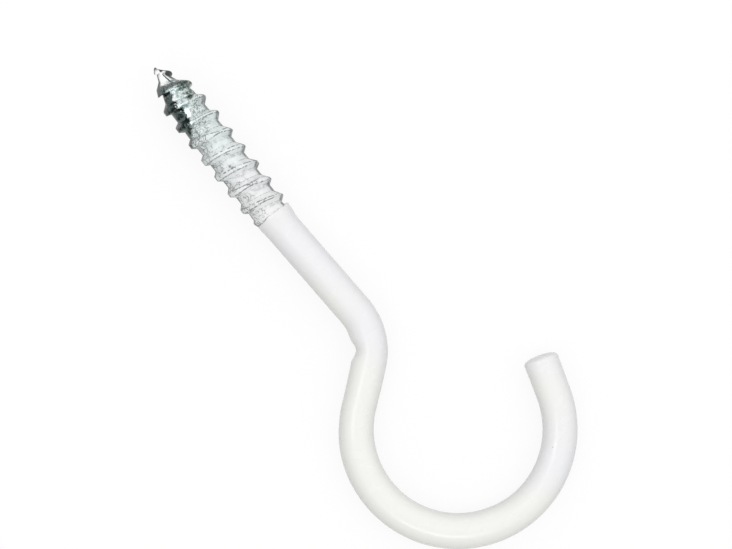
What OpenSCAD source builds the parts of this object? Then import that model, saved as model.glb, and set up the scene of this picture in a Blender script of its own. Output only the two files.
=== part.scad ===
// Screw hook: one length of coated steel wire with a wood thread at one end and an open bowl at the other.
// The hook lies flat. The screw's axis is Y with the point at +Y, the mouth opens to +X, and the wire's
// plane is XY. The origin is on the screw's axis, where the thread comes out of the coat's collar.

/* [Wire] */
// Diameter of the coated wire
wire_d = 4.8; // [3.6:0.1:6.4]

/* [Bowl] */
// Clear diameter inside the bowl
bowl_inner_d = 22.4; // [16:0.2:32]
// Angle from the screw's side of the bowl, round the open side, to where the bowl's curve ends
mouth_angle = 108; // [80:1:140]
// Straight tail beyond the bowl, to the crown of its end
tail_len = 5.1; // [2.5:0.1:12]
// Length over which the tail's end is rounded off
end_round = 1; // [0.4:0.1:2]
// Fullness of that rounding: 2 is an ellipse, and more is flatter on top
end_fullness = 2.5; // [2:0.1:4]

/* [Neck] */
// Radius of the neck's bend, to the middle of the wire
neck_bend_r = 8.3; // [6:0.1:14]
// Straight wire between the neck's bend and the bowl
neck_len = 5.4; // [1:0.1:12]
// Depth of the crease on the inner side of the neck's bend
crease_depth = 0.4; // [0.1:0.05:0.8]
// Radius of the tool edge that left the crease
crease_r = 0.8; // [0.4:0.1:1.6]
// Angle round the bend at which the crease lies
crease_at = 38; // [10:1:50]

/* [Shank] */
// Plain shank from the thread to the neck's bend, with the collar
shank_len = 16.8; // [8:0.1:40]
// Angle by which the threaded end leans off the shank
thread_lean = 2.5; // [0:0.1:5]
// Height of the coat's collar above the wire
collar_rise = 0.2; // [0.05:0.05:0.4]
// Length of the collar, with its run down to the wire
collar_len = 2.6; // [1.6:0.1:5]
// Radius of the collar's edge at the thread
collar_edge_r = 0.25; // [0.1:0.05:0.4]

/* [Thread] */
// Length from the collar to the tip of the point
thread_len = 25.2; // [16:0.1:40]
// Distance from one turn to the next
pitch = 2.76; // [2.2:0.02:4]
// Step from the coated wire down to the thread's root
root_cut = 0.1; // [0.05:0.05:0.5]
// Height of the flight above the root
flight_h = 0.75; // [0.4:0.05:1.2]
// Width of the flight at its foot
flight_w = 1.6; // [1.2:0.05:2]
// Width of the flat on the flight's crest
crest_w = 0.45; // [0.2:0.05:0.8]
// Length of the tapered point
point_len = 6.4; // [4:0.1:12]
// Fullness of the point: 1 is a cone, and more is a rounder point
point_fullness = 1.5; // [1:0.1:2]
// Length over which the flight grows to full height from the tip
point_fade = 2.4; // [1:0.1:5]
// Length over which the flight runs out at the collar
runout_len = 1.4; // [0.6:0.1:4]
// Turn of the thread about its axis, which sets where its crests lie
thread_turn = -158; // [-180:1:180]
// Hand of the thread
thread_hand = -1; // [-1:Left, 1:Right]

/* [Hidden] */
$fn = 96;

// Wire path: the bowl's centre lies on the shank's line, which settles the neck's turn
bowl_r = (bowl_inner_d + wire_d) / 2;
bend_span = neck_bend_r + bowl_r;
neck_turn = acos(neck_bend_r / norm([bend_span, neck_len])) - atan2(neck_len, bend_span);
bowl_turn = 270 - mouth_angle + neck_turn;

// Straight wire is a hair thinner than its neighbours and laps into them, so that each joins on a clean edge
seat = 0.01;
lap = 0.1;
end_land = 2 * lap;

// Thread: columns of profile points climb one pitch a turn, and each turn's top is the next one's foot
root_r = wire_d / 2 - root_cut;
thread_embed = min(collar_len, pitch) / 2;
turn_steps = 48;
profile = [-pitch / 2, -flight_w / 2, -crest_w / 2, crest_w / 2, flight_w / 2];
rows = len(profile);
columns = ceil((thread_len / pitch + 1.5) * turn_steps);
rounding_steps = 10;
snap = 0.000001;

// Share of the full flight height at a place across the flight
function flight_share(across) =
    min(1, max(0, (flight_w / 2 - abs(across)) / ((flight_w - crest_w) / 2)));

// Share of the full flight height at a place along the screw
function fade_share(z) = min(1, max(0, z / runout_len), max(0, (thread_len - z) / point_fade));

// Radius of the core, which closes to the tip along the point
function core_r(z) =
    let (from_base = max(0, (z - thread_len + point_len) / point_len))
    root_r * (1 - pow(from_base, point_fullness));

// Height along the screw, held between the buried foot and the tip
function held(z) =
    z < snap - thread_embed ? -thread_embed : z > thread_len - snap ? thread_len : z;

// Point of the thread's surface for a column and a row of the profile
function thread_point(column, row) =
    let (
        climb = pitch * (column / turn_steps - 1),
        z = held(climb + profile[row]),
        r = core_r(z) + flight_h * flight_share(profile[row]) * fade_share(z),
        angle = thread_hand * 360 * (column % turn_steps) / turn_steps
    )
    [r * cos(angle), r * sin(angle), z];

function thread_index(column, row) =
    row == rows ? thread_index(column + turn_steps, 0) : column * rows + row;

// Core, flight and point of the screw, along +Z from the buried foot
module thread_body() {
    points = [for (c = [0:columns + turn_steps], r = [0:rows - 1]) thread_point(c, r)];
    foot = len(points);
    wall = [for (c = [0:columns - 1], r = [0:rows - 1]) each [
        [thread_index(c, r), thread_index(c, r + 1), thread_index(c + 1, r + 1)],
        [thread_index(c, r), thread_index(c + 1, r + 1), thread_index(c + 1, r)]
    ]];
    cap = [for (c = [0:turn_steps - 1]) [foot, thread_index(c, 0), thread_index(c + 1, 0)]];
    faces = concat(wall, cap);
    polyhedron(
        concat(points, [[0, 0, -thread_embed]]),
        thread_hand > 0 ? faces : [for (f = faces) [f[2], f[1], f[0]]]
    );
}

// The screw in its place along +Y
module thread() {
    rotate([-90, 0, 0]) rotate([0, 0, thread_turn]) thread_body();
}

// Coat's collar at the thread: a rounded edge, then a smooth run down to the wire, as revolved steps
module collar() {
    top_r = wire_d / 2 + collar_rise;
    edge = [for (i = [0:rounding_steps]) let (a = 90 - 90 * i / rounding_steps)
        [top_r - collar_edge_r * (1 - cos(a)), -collar_edge_r * (1 - sin(a))]];
    run = [for (i = [1:rounding_steps]) let (t = i / rounding_steps)
        [wire_d / 2 + collar_rise * (1 + cos(180 * t)) / 2,
         -collar_edge_r - (collar_len - collar_edge_r) * t]];
    rotate([-90, 0, 0]) rotate_extrude()
        polygon(concat([[0, 0]], edge, run, [[0, -collar_len]]));
    translate([0, -collar_len, 0]) children();
}

// Straight wire that heads along -Y, with the next stretch at its end
module straight(length) {
    translate([0, lap, 0]) rotate([90, 0, 0]) cylinder(d = wire_d - 2 * seat, h = length + 2 * lap);
    translate([0, -length, 0]) children();
}

// Bent wire that sets off along -Y and turns to +X, or to -X where turn is negative
module bend(radius, turn) {
    side = sign(turn);
    translate([side * radius, 0, 0]) {
        rotate([0, 0, (side > 0 ? 180 : 0) + min(turn, 0)])
            rotate_extrude(angle = abs(turn)) translate([radius, 0]) circle(d = wire_d);
        rotate([0, 0, turn]) translate([-side * radius, 0, 0]) children();
    }
}

// Rounded end of the tail, on a short land that takes the straight wire
module tail_end() {
    crown = [for (i = [0:rounding_steps]) let (a = 90 * i / rounding_steps)
        [wire_d / 2 * pow(cos(a), 2 / end_fullness),
         end_land + end_round * pow(sin(a), 2 / end_fullness)]];
    rotate([90, 0, 0]) rotate_extrude() polygon(concat([[0, 0], [wire_d / 2, 0]], crown));
}

// Tool edge that creases the inner side of the neck's bend
module crease_tool() {
    reach = neck_bend_r - wire_d / 2 + crease_depth - crease_r;
    translate([-neck_bend_r, -shank_len, 0]) rotate([0, 0, -crease_at]) translate([reach, 0, 0])
        cylinder(r = crease_r, h = 2 * wire_d, center = true);
}

// The one piece of wire, from the collar to the end of the tail
module wire() {
    difference() {
        collar()
            straight(shank_len - collar_len)
            bend(neck_bend_r, -neck_turn)
            straight(neck_len)
            bend(bowl_r, bowl_turn)
            straight(tail_len - end_round - end_land)
            tail_end();
        crease_tool();
    }
}

module screw_hook() {
    color([0.93, 0.93, 0.92]) union() {
        thread();
        rotate([0, 0, thread_lean]) wire();
    }
}

screw_hook();
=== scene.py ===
"""Looks of the screw hook: a coated wire with an open bowl, and a thread whose coat thins to bare zinc."""

import math
from itertools import pairwise

import bmesh
import bpy
from mathutils import Matrix, Vector, noise


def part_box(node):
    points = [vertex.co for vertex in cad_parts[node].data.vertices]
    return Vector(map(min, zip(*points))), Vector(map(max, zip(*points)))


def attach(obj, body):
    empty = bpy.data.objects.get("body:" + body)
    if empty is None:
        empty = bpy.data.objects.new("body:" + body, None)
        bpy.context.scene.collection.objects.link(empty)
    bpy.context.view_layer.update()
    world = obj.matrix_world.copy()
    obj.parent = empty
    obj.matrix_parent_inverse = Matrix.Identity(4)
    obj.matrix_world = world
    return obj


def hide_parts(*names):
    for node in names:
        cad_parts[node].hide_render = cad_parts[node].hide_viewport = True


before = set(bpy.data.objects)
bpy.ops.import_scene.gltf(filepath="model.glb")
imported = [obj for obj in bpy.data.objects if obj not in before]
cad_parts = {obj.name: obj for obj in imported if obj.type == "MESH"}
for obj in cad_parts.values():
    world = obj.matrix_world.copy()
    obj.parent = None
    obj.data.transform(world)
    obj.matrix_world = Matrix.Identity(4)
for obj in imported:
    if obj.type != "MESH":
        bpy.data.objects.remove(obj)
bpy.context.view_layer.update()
hook_low, hook_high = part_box("screw_hook")

MM = 0.001

# Wire, bowl and tail
WIRE_R = 2.4 * MM
BOWL_R = 13.6 * MM
BOWL_FLAT = 0.13 * MM
BOWL_FLAT_FROM = -5 * MM
BOWL_FLAT_TO = 1 * MM
MOUTH_ANGLE = math.radians(110.6)
TAIL_LEN = 5.48 * MM
END_ROUND = 0.8 * MM
END_FULLNESS = 2.2

# Neck and shank
NECK_BEND_R = 8.3 * MM
NECK_LEN = 5.4 * MM
NECK_FLAT = 0.18 * MM
NECK_FLAT_AT = Vector((-8.1, -25.0, 0)) * MM
NECK_FLAT_SIDE = Vector((-0.783, 0.622, 0))
NECK_FLAT_REACH = 9 * MM
CREASE_AT = math.radians(39.8)
CREASE_DEPTH = 0.5 * MM
CREASE_REACH = 1.6 * MM
SHANK_LEN = 16.8 * MM
THREAD_LEAN = math.radians(2.5)

# Collar, where the smooth coat ends at the thread
COLLAR_RISE = 0.2 * MM
COLLAR_R = WIRE_R + COLLAR_RISE
COLLAR_LEN = 2.6 * MM
COLLAR_EDGE_R = 0.12 * MM
COLLAR_WAVE = 0.3 * MM
COLLAR_WAVE_REACH = 1.0 * MM
COLLAR_WAVE_FINENESS = 2.2
COLLAR_SHIFT = 0.11 * MM
FOOT_SHIFT = 0.12 * MM
FOOT_SHIFT_LEN = 2.5 * MM

# Thread and point
TIP_Y = hook_high.y
ROOT_R = 2.3 * MM
FLIGHT_H = hook_high.z - ROOT_R
PITCH = 2.76 * MM
FLIGHT_W = 1.6 * MM
CREST_W = 0.45 * MM
FLIGHT_EDGE_R = 0.04 * MM
FIRST_CREST = 1.55 * MM
SPARE_TURNS = 2
CORE_DRAW = 0.15 * MM
CORE_DRAW_FROM = 13 * MM
POINT_LEN = 5.6 * MM
POINT_FULLNESS = 1.2
POINT_FADE = 3.4 * MM
POINT_FADE_SHAPE = 0.4
TIP_R = 0.09 * MM
RUNOUT_LEN = 1.4 * MM

# Uneven flight: narrow, high and dropped on the +X side, lower under the coat, and swept back at the point
CREST_LEAN = 0.2 * MM
CREST_WANDER = 0.5 * MM
CREST_WANDER_ROUND = 1.3
CREST_WANDER_ALONG = 0.8
CREST_LEAST = 0.06 * MM
CREST_DROP = 0.28 * MM
FLIGHT_LEAN = 0.07
FLIGHT_SINK = 0.15
COAT_FULL_TO = 12.5 * MM
COAT_THIN_FROM = 15.5 * MM
SWEEP_FROM = 18 * MM
SWEEP_TO = 20.5 * MM
SWEPT_TIP_FOOT = 1.15 * MM
SWEPT_BACK_FOOT = 0.35 * MM

# Uneven coat: waves on the wire, grain on the thread, and lumps there that are worn down at the point
COAT_WAVE = 0.035 * MM
COAT_WAVE_SIZE = 2.6 * MM
COAT_WAVE_TO = -1.0 * MM
THREAD_LUMP = 0.06 * MM
THREAD_LUMP_SIZE = 0.6 * MM
THREAD_GRAIN = 0.025 * MM
THREAD_GRAIN_SIZE = 0.25 * MM
FILM_FROM = 0.2 * MM
FILM_FULL_FROM = 1.2 * MM
WORN_FROM = 16 * MM
WORN_TO = 19 * MM
WORN_SHARE = 0.7
CLOUD_DEPTH = 2

# Fineness of the meshes
WIRE_SIDES = 72
RING_STEP = 0.4 * MM
NECK_RING_STEP = 0.2 * MM
EDGE_RINGS = 6
CROWN_RINGS = 14
TURN_STEPS = 160
THREAD_STEP = 0.1 * MM
FLIGHT_EDGE_STEPS = 3
FLOOR_CELLS = 4
MERGE_STEP = 0.004 * MM
CUT_STEP = 0.001 * MM

# Smooth white coat
WARM_WHITE = (0.885, 0.885, 0.853, 1)
COOL_WHITE = (0.87, 0.87, 0.885, 1)
DUST = (0.35, 0.34, 0.32, 1)
DUST_R = (0.012, 0.02)
# Painted light tint: the coat turns cooler towards +X and +Y
PAINTED_TINT_LEAN_X = 0.013
PAINTED_TINT_LEAN_Y = 0.003
COAT_GLOSS = 0.35
PEEL_STRENGTH = 0.06
PEEL_DEPTH = 0.05 * MM

# Film of coat on the thread, with its places and widths in millimetres
PALE_FILM = (0.89, 0.89, 0.89, 1)
DULL_FILM = (0.77, 0.77, 0.77, 1)
COLLAR_FILM = (0.9, 0.9, 0.905, 1)
BLUE_TINT = (0.985, 0.993, 1.0, 1)
GREEN_TINT = (0.91, 1.0, 0.99, 1)
# Painted shade on the film along both sides of the screw
SIDE_PAINTED_SHADE = (0.14, 0.16, 0.16, 1)
LINE_GREY = (0.12, 0.145, 0.14, 1)
COLLAR_FILM_TO = (0.4, 2.6)
COLLAR_FILM_SHARE = 0.8
GREENER_FROM = (3.0, 17.0)
SPECKLED_FROM = (14.0, 18.5)
BARE_FROM = (18.6, 19.4)
WEAR_LEAN = -0.95
WEAR_LEAN_LEFT = -0.5
WEAR_MOTTLE = 2.4
WEAR_GRAIN = 1.2
# Where the painted shade along the screw's sides fades from its middle plane, and its lean to +X
SIDE_SHADE_LEVEL = (0.55, 1.05)
SIDE_SHADE_LEAN = -0.14
CREST_EDGE_AT = 0.26
CREST_LINE = (0.03, 0.12)
FOOT_EDGE_AT = 0.82
FOOT_LINE = (0.02, 0.08)
FOOT_LINE_SHARE = 0.55
LINE_WANDER = 0.24
LINE_SHARE = 0.85
CRINKLE_BEND = (0.7, 0.7, 0.7)
CRINKLE_LINE = (0.02, 0.075)
CRINKLE_STRENGTH = 0.35
CRINKLE_DEPTH = 0.08 * MM

# Bare zinc at the point, with its places in millimetres, and those round the screw as shares of its radius
# Bands round the screw: painted shade, a painted highlight and a painted grey reflection, mottled with
# tarnish
SHADED_BLACK_ZINC = (0.001, 0.005, 0.004, 1)
SHADED_DARK_ZINC = (0.09, 0.125, 0.118, 1)
GREEN_ZINC = (0.3, 0.42, 0.4, 1)
PAINTED_HIGHLIGHT_ZINC = (0.88, 0.93, 0.93, 1)
PAINTED_HIGHLIGHT_CONE = (0.97, 0.98, 0.98, 1)
STAINED_ZINC = (0.04, 0.07, 0.06, 1)
PAINTED_GREY_REFLECTION = (0.6, 0.7, 0.67, 1)
PAINTED_GREY_CONE_REFLECTION = (0.6, 0.68, 0.66, 1)
SEAM_STAIN = (0.03, 0.045, 0.04, 1)
DARK_FLANK = (0.05, 0.06, 0.06, 1)
GREY_FLANK = (0.19, 0.215, 0.215, 1)
# Painted shade along both sides of the bare zinc
RIM_PAINTED_SHADE = (0.03, 0.04, 0.04, 1)
# Where the painted shade and the painted grey reflection begin round the screw
PAINTED_SHADE_SIDE_TO = (-0.35, -0.2)
PAINTED_SHADE_ON_CONE = 0.7
PAINTED_REFLECTION_SIDE_FROM = (0.3, 0.5)
PAINTED_REFLECTION_ON_CONE = -0.35
GREY_CONE_SHARE = 0.6
SIDE_RAGGED = 0.9
FLANK_STAIN_FROM = (21.0, 21.6)
FLANK_STAIN_TO = (22.6, 23.0)
FLANK_BACK = (-0.15, 0.05)
FLANK_FRONT = (0.4, 0.65)
FLANK_RAGGED = 1.2
FLANK_SHARE = 0.95
CONE_FROM = (22.0, 22.8)
SEAM_FROM = (21.9, 22.4)
SEAM_TO = (23.7, 24.0)
SEAM_SIDE = 0.4
SEAM_LINE = (0.05, 0.12)
TIP_STAIN_FROM = (24.0, 24.2)
TIP_STAIN_TO = (24.8, 25.0)
TIP_STAIN_X = (0.12, 0.3)
# Where the painted shade on the zinc's sides and down the point's sides fades
RIM_SHADE_LEVEL = (0.15, 0.7)
RIM_SHADE_SHARE = 0.9
CONE_RIM_SHADE_SIDE = (0.54, 0.86)
LEAST_RADIUS = 0.05
METAL = 0.9

# View of the photograph
PHOTO_W = 732
PHOTO_H = 549
PIXELS_PER_M = 7491
ORIGIN_PIXEL = Vector((272.24, 215.56))
SCREW_TURN = math.radians(38.46)
LENS = 120
SENSOR_W = 36

# Light and floor
FILL = 0.805
LAMP_HEIGHT = 0.5
COOL_LIGHT = (0.99, 0.995, 1.0)
WARM_LIGHT = (1.0, 0.99, 0.97)
PLAIN_LIGHT = (1.0, 1.0, 1.0)
FLOOR_SIDE = 3.0
FLOOR_BOUNCE = (0.12, 0.12, 0.12, 1)
SHADOW_SHARE = 0.12
WHITE = (1, 1, 1, 1)


def share(value, start, end):
    """How far value has come from start to end, held from 0 to 1 and eased at both ends."""
    t = min(1, max(0, (value - start) / (end - start)))
    return t * t * (3 - 2 * t)


def deselect():
    bpy.ops.object.select_all(action="DESELECT")


def mode(name):
    bpy.ops.object.mode_set(mode=name)


def select_mesh(action="SELECT"):
    bpy.ops.mesh.select_all(action=action)


def settle(name):
    """Names the new primitive and puts its place into its mesh."""
    bpy.ops.object.transform_apply(location=True, rotation=True, scale=True)
    piece = bpy.context.object
    piece.name = piece.data.name = name
    return piece


def extrude(step):
    bpy.ops.mesh.extrude_region_move(TRANSFORM_OT_translate={"value": step})


# Wire: a ring is drawn along the path, and place follows the wire's end, which heads along its own -Y


def draw_straight(place, length, ring_step):
    rings = round(length / ring_step)
    step = place.to_3x3() @ Vector((0, -length / rings, 0))
    for _ in range(rings):
        extrude(step)
    return place @ Matrix.Translation((0, -length, 0))


def draw_bend(place, radius, turn, ring_step):
    """Turns the wire to its +X side, or to its -X side where turn is negative."""
    to_centre = Matrix.Translation((math.copysign(radius, turn), 0, 0))
    centre = place @ to_centre
    rings = round(radius * abs(turn) / ring_step)
    bpy.ops.mesh.spin(steps=rings, angle=-turn, center=centre.translation, axis=(0, 0, 1))
    return centre @ Matrix.Rotation(turn, 4, "Z") @ to_centre.inverted()


def draw_turned(place, start_r, section):
    """Rings of a turned form: each step of its section is a radius and a reach along the wire."""
    along = place.to_3x3() @ Vector((0, -1, 0))
    radius, reach = start_r, 0
    for next_r, next_reach in section:
        extrude(along * (next_reach - reach))
        middle = place.translation + along * next_reach
        bpy.ops.transform.resize(value=(next_r / radius,) * 3, center_override=middle)
        radius, reach = next_r, next_reach
    return place @ Matrix.Translation((0, -reach, 0))


def collar_section():
    """The coat's rounded edge at the thread, then its smooth run down to the wire."""
    for i in range(1, EDGE_RINGS + 1):
        a = math.pi / 2 * i / EDGE_RINGS
        yield COLLAR_R - COLLAR_EDGE_R * (1 - math.sin(a)), COLLAR_EDGE_R * (1 - math.cos(a))
    for i in range(1, EDGE_RINGS + 1):
        t = i / EDGE_RINGS
        rise = COLLAR_RISE * (1 + math.cos(math.pi * t)) / 2
        yield WIRE_R + rise, COLLAR_EDGE_R + (COLLAR_LEN - COLLAR_EDGE_R) * t


def crown_section():
    """The tail's rounded end, short of the pole in its middle."""
    for i in range(1, CROWN_RINGS):
        a = math.pi / 2 * i / CROWN_RINGS
        yield WIRE_R * math.cos(a) ** (2 / END_FULLNESS), END_ROUND * math.sin(a) ** (2 / END_FULLNESS)


def draw_wire():
    """The coated wire, from the collar's edge round the neck and the bowl to the crown of the tail."""
    bend_span = NECK_BEND_R + BOWL_R
    neck_turn = math.acos(NECK_BEND_R / math.hypot(bend_span, NECK_LEN)) - math.atan2(NECK_LEN, bend_span)
    bowl_turn = 1.5 * math.pi - MOUTH_ANGLE + neck_turn
    start_r = COLLAR_R - COLLAR_EDGE_R
    deselect()
    bpy.ops.mesh.primitive_circle_add(
        vertices=WIRE_SIDES, radius=start_r, rotation=(math.pi / 2, 0, THREAD_LEAN)
    )
    wire = settle("coated_hook")
    mode("EDIT")
    place = Matrix.Rotation(THREAD_LEAN, 4, "Z")
    place = draw_turned(place, start_r, collar_section())
    place = draw_straight(place, SHANK_LEN - COLLAR_LEN, RING_STEP)
    neck_centre = place @ Vector((-NECK_BEND_R, 0, 0))
    place = draw_bend(place, NECK_BEND_R, -neck_turn, NECK_RING_STEP)
    place = draw_straight(place, NECK_LEN, RING_STEP)
    bowl_centre = place @ Vector((BOWL_R, 0, 0))
    place = draw_bend(place, BOWL_R, bowl_turn, RING_STEP)
    place = draw_straight(place, TAIL_LEN - END_ROUND, RING_STEP)
    draw_turned(place, WIRE_R, crown_section())
    bpy.ops.mesh.edge_face_add()
    bpy.ops.mesh.poke()
    mode("OBJECT")
    press_crease(wire, neck_centre)
    flatten_bowl(wire, bowl_centre)
    wire.data.materials.append(white_coat())
    return wire


def press_crease(wire, neck_centre):
    """Presses the bending tool's crease into the inner side of the neck."""
    inner_r = NECK_BEND_R - WIRE_R
    for v in wire.data.vertices:
        out = v.co - neck_centre
        out.z = 0
        along = (math.atan2(-out.y, out.x) + THREAD_LEAN - CREASE_AT) * inner_r
        if abs(along) > CREASE_REACH or out.length > NECK_BEND_R:
            continue
        facing = (NECK_BEND_R - out.length) / WIRE_R
        v.co += out.normalized() * CREASE_DEPTH * facing * (1 - share(abs(along), 0, CREASE_REACH))


def flatten_bowl(wire, bowl_centre):
    """Flattens the inner side of the bowl a little on the tail's half, as bending leaves it."""
    for v in wire.data.vertices:
        out = v.co - bowl_centre
        out.z = 0
        facing = max(0, BOWL_R - out.length) / WIRE_R
        v.co += out.normalized() * BOWL_FLAT * facing * share(out.x, BOWL_FLAT_FROM, BOWL_FLAT_TO)


# Thread: one pitch of the flight is drawn on the screw's +X side and wound about the axis


def split_long_edges():
    """Cuts the drawn section's edges to about the thread's step."""
    mesh = bmesh.from_edit_mesh(bpy.context.object.data)
    cuts = {e.index: int(e.calc_length() / THREAD_STEP) for e in mesh.edges}
    bpy.ops.mesh.select_mode(type="EDGE")
    for count in sorted(set(cuts.values()) - {0}):
        mesh = bmesh.from_edit_mesh(bpy.context.object.data)
        mesh.edges.ensure_lookup_table()
        select_mesh("DESELECT")
        for i, wanted in cuts.items():
            mesh.edges[i].select = wanted == count
        bpy.ops.mesh.subdivide(number_cuts=count)
    bpy.ops.mesh.select_mode(type="VERT")


def draw_flight():
    """Section of one pitch, from groove to groove, with the flight's corners rounded by the coat."""
    groove = (PITCH - FLIGHT_W) / 2
    flank = (FLIGHT_W - CREST_W) / 2
    start = (ROOT_R, FIRST_CREST - (SPARE_TURNS + 0.5) * PITCH, 0)
    deselect()
    bpy.ops.mesh.primitive_plane_add(size=PITCH, location=start)
    thread = settle("screw_thread")
    mode("EDIT")
    bpy.ops.mesh.merge(type="CENTER")
    select_mesh()
    for lift, rise in (0, groove), (FLIGHT_H, flank), (0, CREST_W), (-FLIGHT_H, flank), (0, groove):
        extrude((lift, rise, 0))
    select_mesh()
    bpy.ops.mesh.bevel(offset=FLIGHT_EDGE_R, segments=FLIGHT_EDGE_STEPS, affect="VERTICES")
    split_long_edges()
    mode("OBJECT")
    return thread


def wind_thread():
    """Winds the flight left-handed, past the collar and past the tip."""
    thread = draw_flight()
    winding = thread.modifiers.new("winding", "SCREW")
    winding.axis = "Y"
    winding.angle = -math.tau
    winding.screw_offset = PITCH
    winding.iterations = math.ceil(TIP_Y / PITCH) + 2 * SPARE_TURNS
    winding.steps = winding.render_steps = TURN_STEPS
    bpy.ops.object.modifier_apply(modifier=winding.name)
    mode("EDIT")
    select_mesh()
    bpy.ops.mesh.remove_doubles(threshold=MERGE_STEP)
    mode("OBJECT")
    return thread


def across_flight(point):
    """Distance along the screw from the middle of the nearest flight, with the tip's side positive."""
    pitches = (point.y - FIRST_CREST) / PITCH - math.atan2(point.z, point.x) / math.tau
    return (pitches - round(pitches)) * PITCH


def note_flight(thread):
    """Keeps each point's place across its flight, in millimetres, for the worn edges."""
    attribute = thread.data.attributes.new("across_flight", "FLOAT", "POINT")
    for v, found in zip(thread.data.vertices, attribute.data):
        found.value = across_flight(v.co) / MM


def stretch(value, places, new_places):
    """Carries value along with the two places that it lies between, as they move to the new ones."""
    for (start, end), (new_start, new_end) in zip(pairwise(places), pairwise(new_places)):
        if value <= end:
            break
    return new_start + (value - start) * (new_end - new_start) / (end - start)


def roll_flight(thread):
    """Gives the rolled flight its uneven crest and height, and steepens its back at the point."""
    half = PITCH / 2
    foot = FLIGHT_W / 2
    even = (-half, -foot, -CREST_W / 2, CREST_W / 2, foot, half)
    for v in thread.data.vertices:
        across = across_flight(v.co)
        middle = v.co.y - across
        radial = Vector((v.co.x, 0, v.co.z))
        facing = radial.normalized()
        spot = CREST_WANDER_ROUND * facing
        spot.y = CREST_WANDER_ALONG * middle / PITCH
        wander = CREST_WANDER * noise.noise(spot)
        crest = max(CREST_LEAST, CREST_W - CREST_LEAN * facing.x + wander) / 2
        coated = 1 - share(middle, COAT_FULL_TO, COAT_THIN_FROM)
        drop = CREST_DROP * max(0, facing.x) * coated
        swept = share(middle, SWEEP_FROM, SWEEP_TO)
        back_foot = foot + (SWEPT_BACK_FOOT - foot) * swept
        tip_foot = foot + (SWEPT_TIP_FOOT - foot) * swept
        rolled = (-half, -back_foot, -crest - drop, crest - drop, tip_foot, half)
        lift = 1 + FLIGHT_LEAN * facing.x - FLIGHT_SINK * coated
        radial.length = ROOT_R + (radial.length - ROOT_R) * lift
        v.co = Vector((radial.x, middle + stretch(across, even, rolled), radial.z))


def trim_thread():
    """Cuts the thread square just inside the collar and at the tip."""
    cut = {"plane_no": (0, 1, 0), "threshold": CUT_STEP}
    mode("EDIT")
    select_mesh()
    bpy.ops.mesh.bisect(plane_co=(0, -COLLAR_EDGE_R, 0), clear_inner=True, **cut)
    select_mesh()
    bpy.ops.mesh.bisect(plane_co=(0, TIP_Y, 0), clear_outer=True, **cut)
    mode("OBJECT")


def taper_point(thread):
    """Draws the core in to the tip, and lets the flight grow from the tip and run out at the collar."""
    for v in thread.data.vertices:
        y = v.co.y
        radial = Vector((v.co.x, 0, v.co.z))
        from_base = min(1, max(0, (y - TIP_Y + POINT_LEN) / POINT_LEN))
        core = ROOT_R - CORE_DRAW * share(y, CORE_DRAW_FROM, TIP_Y - POINT_LEN)
        core = max(TIP_R, core * (1 - from_base**POINT_FULLNESS))
        fade = min(1, max(0, y / RUNOUT_LEN), max(0, (TIP_Y - y) / POINT_FADE) ** POINT_FADE_SHAPE)
        radial.length = core + (radial.length - ROOT_R) * fade
        v.co = Vector((radial.x, y, radial.z))


def close_tip(thread):
    """Closes the blunt tip by a fan of faces."""
    mode("EDIT")
    select_mesh("DESELECT")
    mesh = bmesh.from_edit_mesh(thread.data)
    for v in mesh.verts:
        v.select = TIP_Y - v.co.y < MERGE_STEP
    mesh.select_flush_mode()
    bpy.ops.mesh.remove_doubles(threshold=CUT_STEP)
    bpy.ops.mesh.edge_face_add()
    bpy.ops.mesh.poke()
    mode("OBJECT")


def draw_thread():
    """The screw with its point, open at the collar."""
    thread = wind_thread()
    note_flight(thread)
    roll_flight(thread)
    trim_thread()
    taper_point(thread)
    close_tip(thread)
    thread.data.materials.append(thread_coat())
    return thread


# Hook: wire and thread are joined, then pressed and coated as one


def join_hook(wire, thread):
    """One closed skin: the thread's open foot is bridged to the collar's open edge."""
    deselect()
    thread.select_set(True)
    wire.select_set(True)
    bpy.context.view_layer.objects.active = wire
    bpy.ops.object.join()
    mode("EDIT")
    bpy.ops.mesh.select_mode(type="EDGE")
    select_mesh("DESELECT")
    bpy.ops.mesh.select_non_manifold(use_multi_face=False, use_non_contiguous=False, use_verts=False)
    bpy.ops.mesh.bridge_edge_loops()
    select_mesh()
    bpy.ops.mesh.normals_make_consistent(inside=False)
    mode("OBJECT")
    return wire


def flatten_neck(hook):
    """Flattens the outer side of the wire a little where the neck runs into the bowl."""
    normals = [v.normal.copy() for v in hook.data.vertices]
    for v, normal in zip(hook.data.vertices, normals):
        near = 1 - share((v.co - NECK_FLAT_AT).length, 0, NECK_FLAT_REACH)
        v.co -= NECK_FLAT_SIDE * NECK_FLAT * near * max(0, normal.dot(NECK_FLAT_SIDE))


def wave_collar(hook):
    """Makes the coat's edge at the thread wander, proud on the +X side and level on the other."""
    for v in hook.data.vertices:
        if v.co.y > 0:
            v.co.x -= FOOT_SHIFT * (1 - share(v.co.y, 0, FOOT_SHIFT_LEN))
        else:
            v.co.x += COLLAR_SHIFT * (1 - share(-v.co.y, COLLAR_EDGE_R, COLLAR_LEN))
        near = 1 - share(abs(v.co.y), 0, COLLAR_WAVE_REACH)
        if near > 0:
            facing = Vector((v.co.x, 0, v.co.z)).normalized()
            v.co.y += COLLAR_WAVE * near * noise.noise(facing * COLLAR_WAVE_FINENESS)


def wire_weight(point):
    return 1 - share(point.y, COAT_WAVE_TO, 0)


def grain_weight(point):
    return share(point.y, FILM_FROM, FILM_FULL_FROM)


def film_weight(point):
    return grain_weight(point) * (1 - WORN_SHARE * share(point.y, WORN_FROM, WORN_TO))


def weigh(piece, name, weight_of):
    """Vertex group of that name, with each point's weight from its place."""
    group = piece.vertex_groups.new(name=name)
    for v in piece.data.vertices:
        weight = weight_of(v.co)
        if weight > 0:
            group.add([v.index], weight, "REPLACE")
    return group.name


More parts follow.
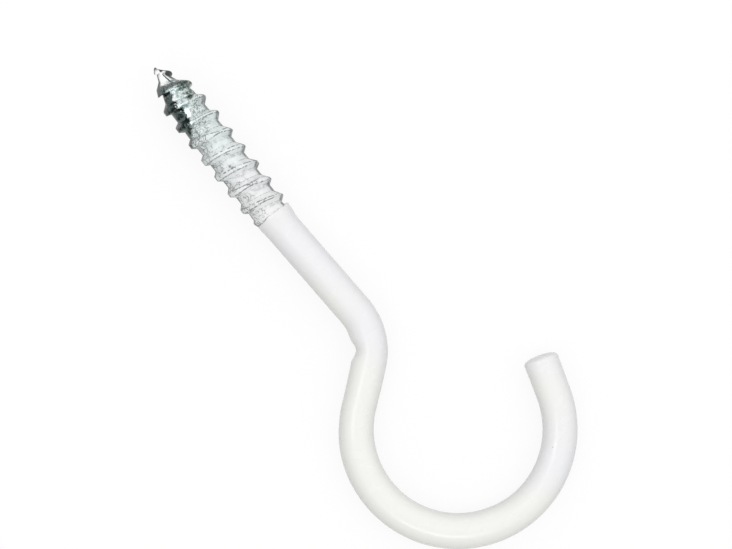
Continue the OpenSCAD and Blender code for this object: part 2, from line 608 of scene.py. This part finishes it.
def swell(piece, group, height, size):
    """Lifts and sinks the coat by a cloud pattern of that size."""
    clouds = bpy.data.textures.new(f"{group}_clouds", "CLOUDS")
    clouds.noise_basis = "ORIGINAL_PERLIN"
    clouds.noise_scale = size
    clouds.noise_depth = CLOUD_DEPTH
    lift = piece.modifiers.new(f"{group}_lift", "DISPLACE")
    lift.texture = clouds
    lift.texture_coords = "LOCAL"
    lift.vertex_group = group
    lift.strength = height
    bpy.ops.object.modifier_apply(modifier=lift.name)


def coat_hook(hook):
    """Lumps and grain in the film on the thread, and shallow waves in the coat on the wire."""
    swell(hook, weigh(hook, "thread_film", film_weight), THREAD_LUMP, THREAD_LUMP_SIZE)
    swell(hook, weigh(hook, "thread_grain", grain_weight), THREAD_GRAIN, THREAD_GRAIN_SIZE)
    swell(hook, weigh(hook, "smooth_coat", wire_weight), COAT_WAVE, COAT_WAVE_SIZE)


# Materials


class Nodes:
    """Short way to add and link the nodes of one tree."""

    def __init__(self, tree):
        self.tree = tree
        tree.nodes.clear()

    def add(self, kind, inputs=None, **settings):
        node = self.tree.nodes.new(kind)
        for name, value in settings.items():
            setattr(node, name, value)
        for name, value in (inputs or {}).items():
            self.feed(node.inputs[name], value)
        return node

    def feed(self, socket, value):
        if isinstance(value, bpy.types.NodeSocket):
            self.tree.links.new(value, socket)
        else:
            socket.default_value = value

    def math(self, operation, *values):
        return self.add("ShaderNodeMath", dict(enumerate(values)), operation=operation).outputs[0]

    def plus(self, base, value, factor):
        """base, with value times factor added."""
        return self.math("MULTIPLY_ADD", value, factor, base)

    def both(self, first, second):
        return self.math("MULTIPLY", first, second)

    def either(self, first, second):
        return self.math("MAXIMUM", first, second)

    def range(self, value, start, end, low=0.0, high=1.0):
        """From low to high as value comes from start to end, eased at both ends."""
        node = self.add(
            "ShaderNodeMapRange",
            {"Value": value, "From Min": start, "From Max": end, "To Min": low, "To Max": high},
            interpolation_type="SMOOTHSTEP",
        )
        return node.outputs["Result"]

    def fall(self, value, start, end, high=1.0):
        """From high to 0 as value comes from start to end."""
        return self.range(value, start, end, high, 0.0)

    def line(self, value, place, near, far, high=1.0):
        """High where value is within near of the place, and 0 past far."""
        off = self.math("ABSOLUTE", self.math("SUBTRACT", value, place))
        return self.fall(off, near, far, high)

    def blend(self, factor, first, second, kind="MIX"):
        node = self.add(
            "ShaderNodeMix", {0: factor, 6: first, 7: second}, data_type="RGBA", blend_type=kind
        )
        return node.outputs[2]

    def noise(self, vector, scale, detail=2.0, roughness=0.5):
        node = self.add(
            "ShaderNodeTexNoise",
            {"Vector": vector, "Scale": scale, "Detail": detail, "Roughness": roughness},
        )
        return node.outputs["Fac"]

    def millimetres(self):
        """Place on the piece, and its X, Y and Z, in millimetres."""
        place = self.add("ShaderNodeTexCoord").outputs["Object"]
        scaled = self.add("ShaderNodeVectorMath", {"Vector": place, "Scale": 1 / MM}, operation="SCALE")
        axes = self.add("ShaderNodeSeparateXYZ", {"Vector": scaled.outputs[0]})
        return scaled.outputs[0], *axes.outputs

    def put_out(self, shader, kind="ShaderNodeOutputMaterial"):
        self.add(kind, {"Surface": shader.outputs[0]})

    def coat(self, height, strength, depth, looks):
        """Puts out a surface with those looks and a bump of that height, strength and depth."""
        bump = self.add("ShaderNodeBump", {"Height": height, "Strength": strength, "Distance": depth})
        self.put_out(self.add("ShaderNodeBsdfPrincipled", looks | {"Normal": bump.outputs["Normal"]}))


def new_material(name):
    material = bpy.data.materials.new(name)
    material.use_nodes = True
    return material, Nodes(material.node_tree)


def white_coat():
    """Smooth white dip coat: faint warm and cool clouds on a painted light tint, fine orange peel and dust
    specks.
    """
    material, n = new_material("smooth_white_coat")
    place, x, y, _ = n.millimetres()
    # Painted light tint: cooler towards +X and +Y, the cool lamp's side, warmer towards the warm lamp's side
    clouds = n.plus(n.noise(place, scale=0.09, detail=1.0), y, PAINTED_TINT_LEAN_Y)
    clouds = n.plus(clouds, x, PAINTED_TINT_LEAN_X)
    colour = n.blend(n.range(clouds, 0.27, 0.57), WARM_WHITE, COOL_WHITE)
    cells = n.add("ShaderNodeTexVoronoi", {"Vector": place, "Scale": 0.21})
    speck = n.fall(cells.outputs["Distance"], *DUST_R)
    looks = {
        "Base Color": n.blend(speck, colour, DUST),
        "Roughness": n.range(n.noise(place, scale=0.5), 0.3, 0.7, low=0.2, high=0.3),
        "Specular IOR Level": COAT_GLOSS,
    }
    n.coat(n.noise(place, scale=1.6), PEEL_STRENGTH, PEEL_DEPTH, looks)
    return material


class ThreadSurface:
    """Places on the thread, in millimetres, and the patterns that its film and its zinc share."""

    def __init__(self, n):
        self.place, self.x, self.y, z = n.millimetres()
        self.level = n.math("ABSOLUTE", z)
        radius = n.math("SQRT", n.math("ADD", n.both(self.x, self.x), n.both(z, z)))
        self.radius = n.math("MAXIMUM", radius, LEAST_RADIUS)
        self.across = n.add("ShaderNodeAttribute", attribute_name="across_flight").outputs["Fac"]
        self.on_cone = n.range(self.y, *CONE_FROM)
        self.mottle = n.noise(self.place, scale=0.9, detail=3.0, roughness=0.6)
        self.fine = n.noise(self.place, scale=4.5, detail=3.0, roughness=0.65)
        self.patches = n.noise(self.place, scale=2.2)
        self.stains = n.noise(self.place, scale=1.6, detail=4.0, roughness=0.7)


def wear_reach(n, at):
    """Ragged place along the screw that the wear goes by: nearer to the tip on the -X side."""
    reach = n.plus(at.y, at.x, WEAR_LEAN)
    reach = n.plus(reach, n.math("MINIMUM", at.x, 0.0), WEAR_LEAN_LEFT)
    reach = n.plus(reach, at.mottle, WEAR_MOTTLE)
    return n.plus(reach, at.fine, WEAR_GRAIN)


def film_colour(n, at):
    """White at the collar, greener towards the zinc, with painted shade along both sides of the screw."""
    film = n.blend(n.range(at.mottle, 0.35, 0.7), PALE_FILM, DULL_FILM)
    tint = n.blend(n.range(at.y, *GREENER_FROM), BLUE_TINT, GREEN_TINT)
    film = n.blend(1.0, film, tint, "MULTIPLY")
    film = n.blend(n.fall(at.y, *COLLAR_FILM_TO, high=COLLAR_FILM_SHARE), film, COLLAR_FILM)
    # Painted shade along both sides of the screw, wider on the +X side, broken up by patches
    level = n.plus(at.level, n.math("MAXIMUM", at.x, 0.0), SIDE_SHADE_LEAN)
    sides = n.both(n.fall(level, *SIDE_SHADE_LEVEL), n.range(at.patches, 0.3, 0.55, low=0.35, high=0.9))
    return n.blend(sides, film, SIDE_PAINTED_SHADE)


def edge_lines(n, at):
    """Broken lines along the crest's edges and the flight's feet."""
    wander = n.plus(-LINE_WANDER / 2, at.fine, LINE_WANDER)
    off_middle = n.math("ADD", n.math("ABSOLUTE", at.across), wander)
    crest_edge = n.line(off_middle, CREST_EDGE_AT, *CREST_LINE)
    foot_edge = n.line(off_middle, FOOT_EDGE_AT, *FOOT_LINE, high=FOOT_LINE_SHARE)
    return n.both(n.either(crest_edge, foot_edge), n.range(at.patches, 0.38, 0.56))


def film_crinkles(n, at, speckled):
    """Edges of bent cells, most of them on the -X side and towards the bare zinc."""
    crinkled = n.plus(at.mottle, at.x, -0.05)
    crinkled = n.plus(crinkled, speckled, 0.12)
    bends = n.add("ShaderNodeTexNoise", {"Vector": at.place, "Scale": 1.5}).outputs["Color"]
    bent = n.add(
        "ShaderNodeVectorMath", {0: bends, 1: CRINKLE_BEND, 2: at.place}, operation="MULTIPLY_ADD"
    )
    cells = n.add(
        "ShaderNodeTexVoronoi",
        {"Vector": bent.outputs[0], "Scale": 1.25},
        feature="DISTANCE_TO_EDGE",
    )
    return n.both(n.fall(cells.outputs["Distance"], *CRINKLE_LINE), n.range(crinkled, 0.52, 0.64))


def zinc_colour(n, at):
    """Painted shade on -X, a painted highlight in the middle and painted reflection on +X, with stains at
    the point.
    """
    side = n.math("DIVIDE", at.x, at.radius)
    ragged_side = n.plus(side, n.math("SUBTRACT", at.patches, 0.5), SIDE_RAGGED)
    # Dark band: painted shade on the -X side, mottled with tarnish
    dark = n.blend(n.range(at.stains, 0.41, 0.58), SHADED_BLACK_ZINC, SHADED_DARK_ZINC)
    # Bright band: painted highlight in the middle, mottled with green tarnish
    bright = n.blend(n.range(at.stains, 0.34, 0.58), GREEN_ZINC, PAINTED_HIGHLIGHT_ZINC)
    bright = n.blend(at.on_cone, bright, PAINTED_HIGHLIGHT_CONE)
    painted_shade_from_left = n.plus(ragged_side, at.on_cone, PAINTED_SHADE_ON_CONE)
    zinc = n.blend(n.range(painted_shade_from_left, *PAINTED_SHADE_SIDE_TO), dark, bright)
    # Grey band: painted grey reflection on the +X side, mottled with dark stains
    grey = n.blend(n.range(at.stains, 0.41, 0.64), STAINED_ZINC, PAINTED_GREY_REFLECTION)
    grey = n.blend(n.both(at.on_cone, GREY_CONE_SHARE), grey, PAINTED_GREY_CONE_REFLECTION)
    painted_reflection_from_right = n.plus(ragged_side, at.on_cone, PAINTED_REFLECTION_ON_CONE)
    zinc = n.blend(n.range(painted_reflection_from_right, *PAINTED_REFLECTION_SIDE_FROM), zinc, grey)
    zinc = n.blend(n.either(point_seam(n, at, side), tip_stain(n, at)), zinc, SEAM_STAIN)
    flank = n.blend(n.range(at.fine, 0.4, 0.6), DARK_FLANK, GREY_FLANK)
    return n.blend(n.both(flank_stain(n, at), FLANK_SHARE), zinc, flank)


def point_seam(n, at, side):
    """Dark seam down the cone of the point."""
    seam = n.both(n.line(side, SEAM_SIDE, *SEAM_LINE), n.range(at.y, *SEAM_FROM))
    return n.both(seam, n.fall(at.y, *SEAM_TO))


def tip_stain(n, at):
    """Small stain on the +X side of the tip."""
    stain = n.both(n.range(at.y, *TIP_STAIN_FROM), n.fall(at.y, *TIP_STAIN_TO))
    return n.both(stain, n.range(at.x, *TIP_STAIN_X))


def flank_stain(n, at):
    """Ragged stain on the tip's side of the last full flight."""
    ragged = n.plus(at.across, n.math("SUBTRACT", at.stains, 0.5), FLANK_RAGGED)
    stain = n.both(n.range(ragged, *FLANK_BACK), n.fall(ragged, *FLANK_FRONT))
    stain = n.both(stain, n.range(n.math("ADD", at.y, at.patches), *FLANK_STAIN_FROM))
    return n.both(stain, n.fall(at.y, *FLANK_STAIN_TO))


def zinc_rim_shade(n, at):
    """Painted shade along both sides of the screw, and down the sides of its point."""
    cone_rim_shade = n.both(n.fall(n.math("DIVIDE", at.level, at.radius), *CONE_RIM_SHADE_SIDE), at.on_cone)
    return n.either(n.fall(at.level, *RIM_SHADE_LEVEL, high=RIM_SHADE_SHARE), cone_rim_shade)


def thread_coat():
    """Thin crinkled coat on the thread, worn grey along the flight's edges and gone to zinc at the point."""
    material, n = new_material("thin_coat_over_zinc")
    at = ThreadSurface(n)
    reach = wear_reach(n, at)
    speckled = n.range(reach, *SPECKLED_FROM)
    bare = n.range(reach, *BARE_FROM)
    crinkles = film_crinkles(n, at, speckled)
    dots = n.both(n.range(at.fine, 0.5, 0.62), speckled)
    lines = n.either(n.either(edge_lines(n, at), crinkles), dots)
    film = n.blend(n.both(lines, LINE_SHARE), film_colour(n, at), LINE_GREY)
    # Painted shade along both sides of the bare zinc, which is also less metallic there
    rim_shade = zinc_rim_shade(n, at)
    zinc = n.blend(rim_shade, zinc_colour(n, at), RIM_PAINTED_SHADE)
    looks = {
        "Base Color": n.blend(bare, film, zinc),
        "Metallic": n.both(bare, n.plus(METAL, rim_shade, -METAL)),
        "Roughness": n.range(n.plus(at.fine, bare, -0.3), 0.0, 0.8, low=0.25, high=0.5),
    }
    n.coat(n.plus(n.both(at.fine, 0.6), crinkles, -0.4), CRINKLE_STRENGTH, CRINKLE_DEPTH, looks)
    return material


def seen_straight(n):
    """1 for the camera's own rays and those that metal or glass sends on, 0 for soft light."""
    rays = n.add("ShaderNodeLightPath")
    seen = n.either(rays.outputs["Is Camera Ray"], rays.outputs["Is Glossy Ray"])
    return n.either(seen, rays.outputs["Is Transmission Ray"])


def pale_floor():
    """White floor that takes the hook's soft shadow and throws little light back up at it."""
    material, n = new_material("pale_floor")
    seen = seen_straight(n)
    matt = n.add("ShaderNodeBsdfDiffuse", {"Color": n.blend(seen, FLOOR_BOUNCE, WHITE)})
    white = n.add("ShaderNodeEmission", {"Color": WHITE, "Strength": 1.0})
    lit = n.both(seen, 1 - SHADOW_SHARE)
    n.put_out(n.add("ShaderNodeMixShader", {0: lit, 1: matt.outputs[0], 2: white.outputs[0]}))
    return material


# Studio


def in_picture(right, up, height):
    """Place over the hook, by steps right and up in the picture and the height above the wire."""
    turned = Matrix.Rotation(-SCREW_TURN, 3, "Z")
    offset = Vector((PHOTO_W / 2, PHOTO_H / 2)) - ORIGIN_PIXEL
    middle = Vector((offset.x, -offset.y, 0)) / PIXELS_PER_M
    return turned @ (middle + Vector((right, up, height)))


def set_camera():
    """Straight down on the hook, with the photograph's scale in the plane of the wire."""
    data = bpy.data.cameras.new("photo_camera")
    data.lens = LENS
    data.sensor_width = SENSOR_W
    camera = bpy.data.objects.new("photo_camera", data)
    bpy.context.scene.collection.objects.link(camera)
    camera.location = in_picture(0, 0, PHOTO_W / PIXELS_PER_M * LENS / SENSOR_W)
    camera.rotation_euler = (0, 0, -SCREW_TURN)
    bpy.context.scene.camera = camera


def lay_floor():
    """Floor that the lowest crest of the thread and the bottom of the bowl's wire both touch."""
    slope = math.atan2(-WIRE_R - hook_low.z, TIP_Y - hook_low.y)
    deselect()
    bpy.ops.mesh.primitive_grid_add(
        x_subdivisions=FLOOR_CELLS,
        y_subdivisions=FLOOR_CELLS,
        size=FLOOR_SIDE,
        location=(0, TIP_Y, hook_low.z),
        rotation=(-slope, 0, 0),
    )
    floor = settle("floor")
    floor.data.materials.append(pale_floor())


def light_world():
    """White where it is seen straight, and a plain fill for soft light."""
    world = bpy.data.worlds.new("studio")
    bpy.context.scene.world = world
    world.use_nodes = True
    n = Nodes(world.node_tree)
    fill = n.add("ShaderNodeBackground", {"Color": WHITE, "Strength": FILL})
    white = n.add("ShaderNodeBackground", {"Color": WHITE, "Strength": 1.0})
    mix = n.add("ShaderNodeMixShader", {0: seen_straight(n), 1: fill.outputs[0], 2: white.outputs[0]})
    n.put_out(mix, "ShaderNodeOutputWorld")


def add_lamp(name, right, up, size, watts, height=LAMP_HEIGHT, colour=PLAIN_LIGHT, gloss_only=False):
    """Lamp aimed at the middle of the picture: it shows only in the gloss, or gives only soft light."""
    data = bpy.data.lights.new(name, "AREA")
    data.shape = "RECTANGLE"
    data.size, data.size_y = size
    data.energy = watts
    data.color = colour
    lamp = bpy.data.objects.new(name, data)
    bpy.context.scene.collection.objects.link(lamp)
    lamp.location = in_picture(right, up, height)
    target = in_picture(0, 0, 0) - lamp.location
    lamp.rotation_euler = target.to_track_quat("-Z", "Y").to_euler()
    lamp.visible_glossy = gloss_only
    lamp.visible_diffuse = not gloss_only


def light_hook():
    """Soft boxes and a strip that shade the hook, and windows that leave streaks in its gloss."""
    add_lamp("right_soft_box", right=0.35, up=0, size=(0.4, 0.4), watts=0.5, colour=COOL_LIGHT)
    add_lamp("left_strip", right=-0.2, up=-0.23, size=(0.05, 0.22), watts=0.25, colour=WARM_LIGHT)
    add_lamp("far_soft_box", right=0, up=0.45, size=(0.5, 0.25), watts=0.45, height=0.22)
    add_lamp("left_window", right=-0.22, up=-0.02, size=(0.1, 0.16), watts=0.27, gloss_only=True)
    add_lamp("near_window", right=-0.03, up=-0.34, size=(0.3, 0.12), watts=0.6, gloss_only=True)
    add_lamp("high_window", right=-0.08, up=0.06, size=(0.06, 0.06), watts=0.07, gloss_only=True)


bpy.context.scene.view_settings.view_transform = "Standard"
set_camera()
lay_floor()
light_world()
light_hook()

thread = draw_thread()
wire = draw_wire()
hook = join_hook(wire, thread)
flatten_neck(hook)
wave_collar(hook)
coat_hook(hook)
bpy.ops.object.shade_smooth()
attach(hook, "root")
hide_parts("screw_hook")
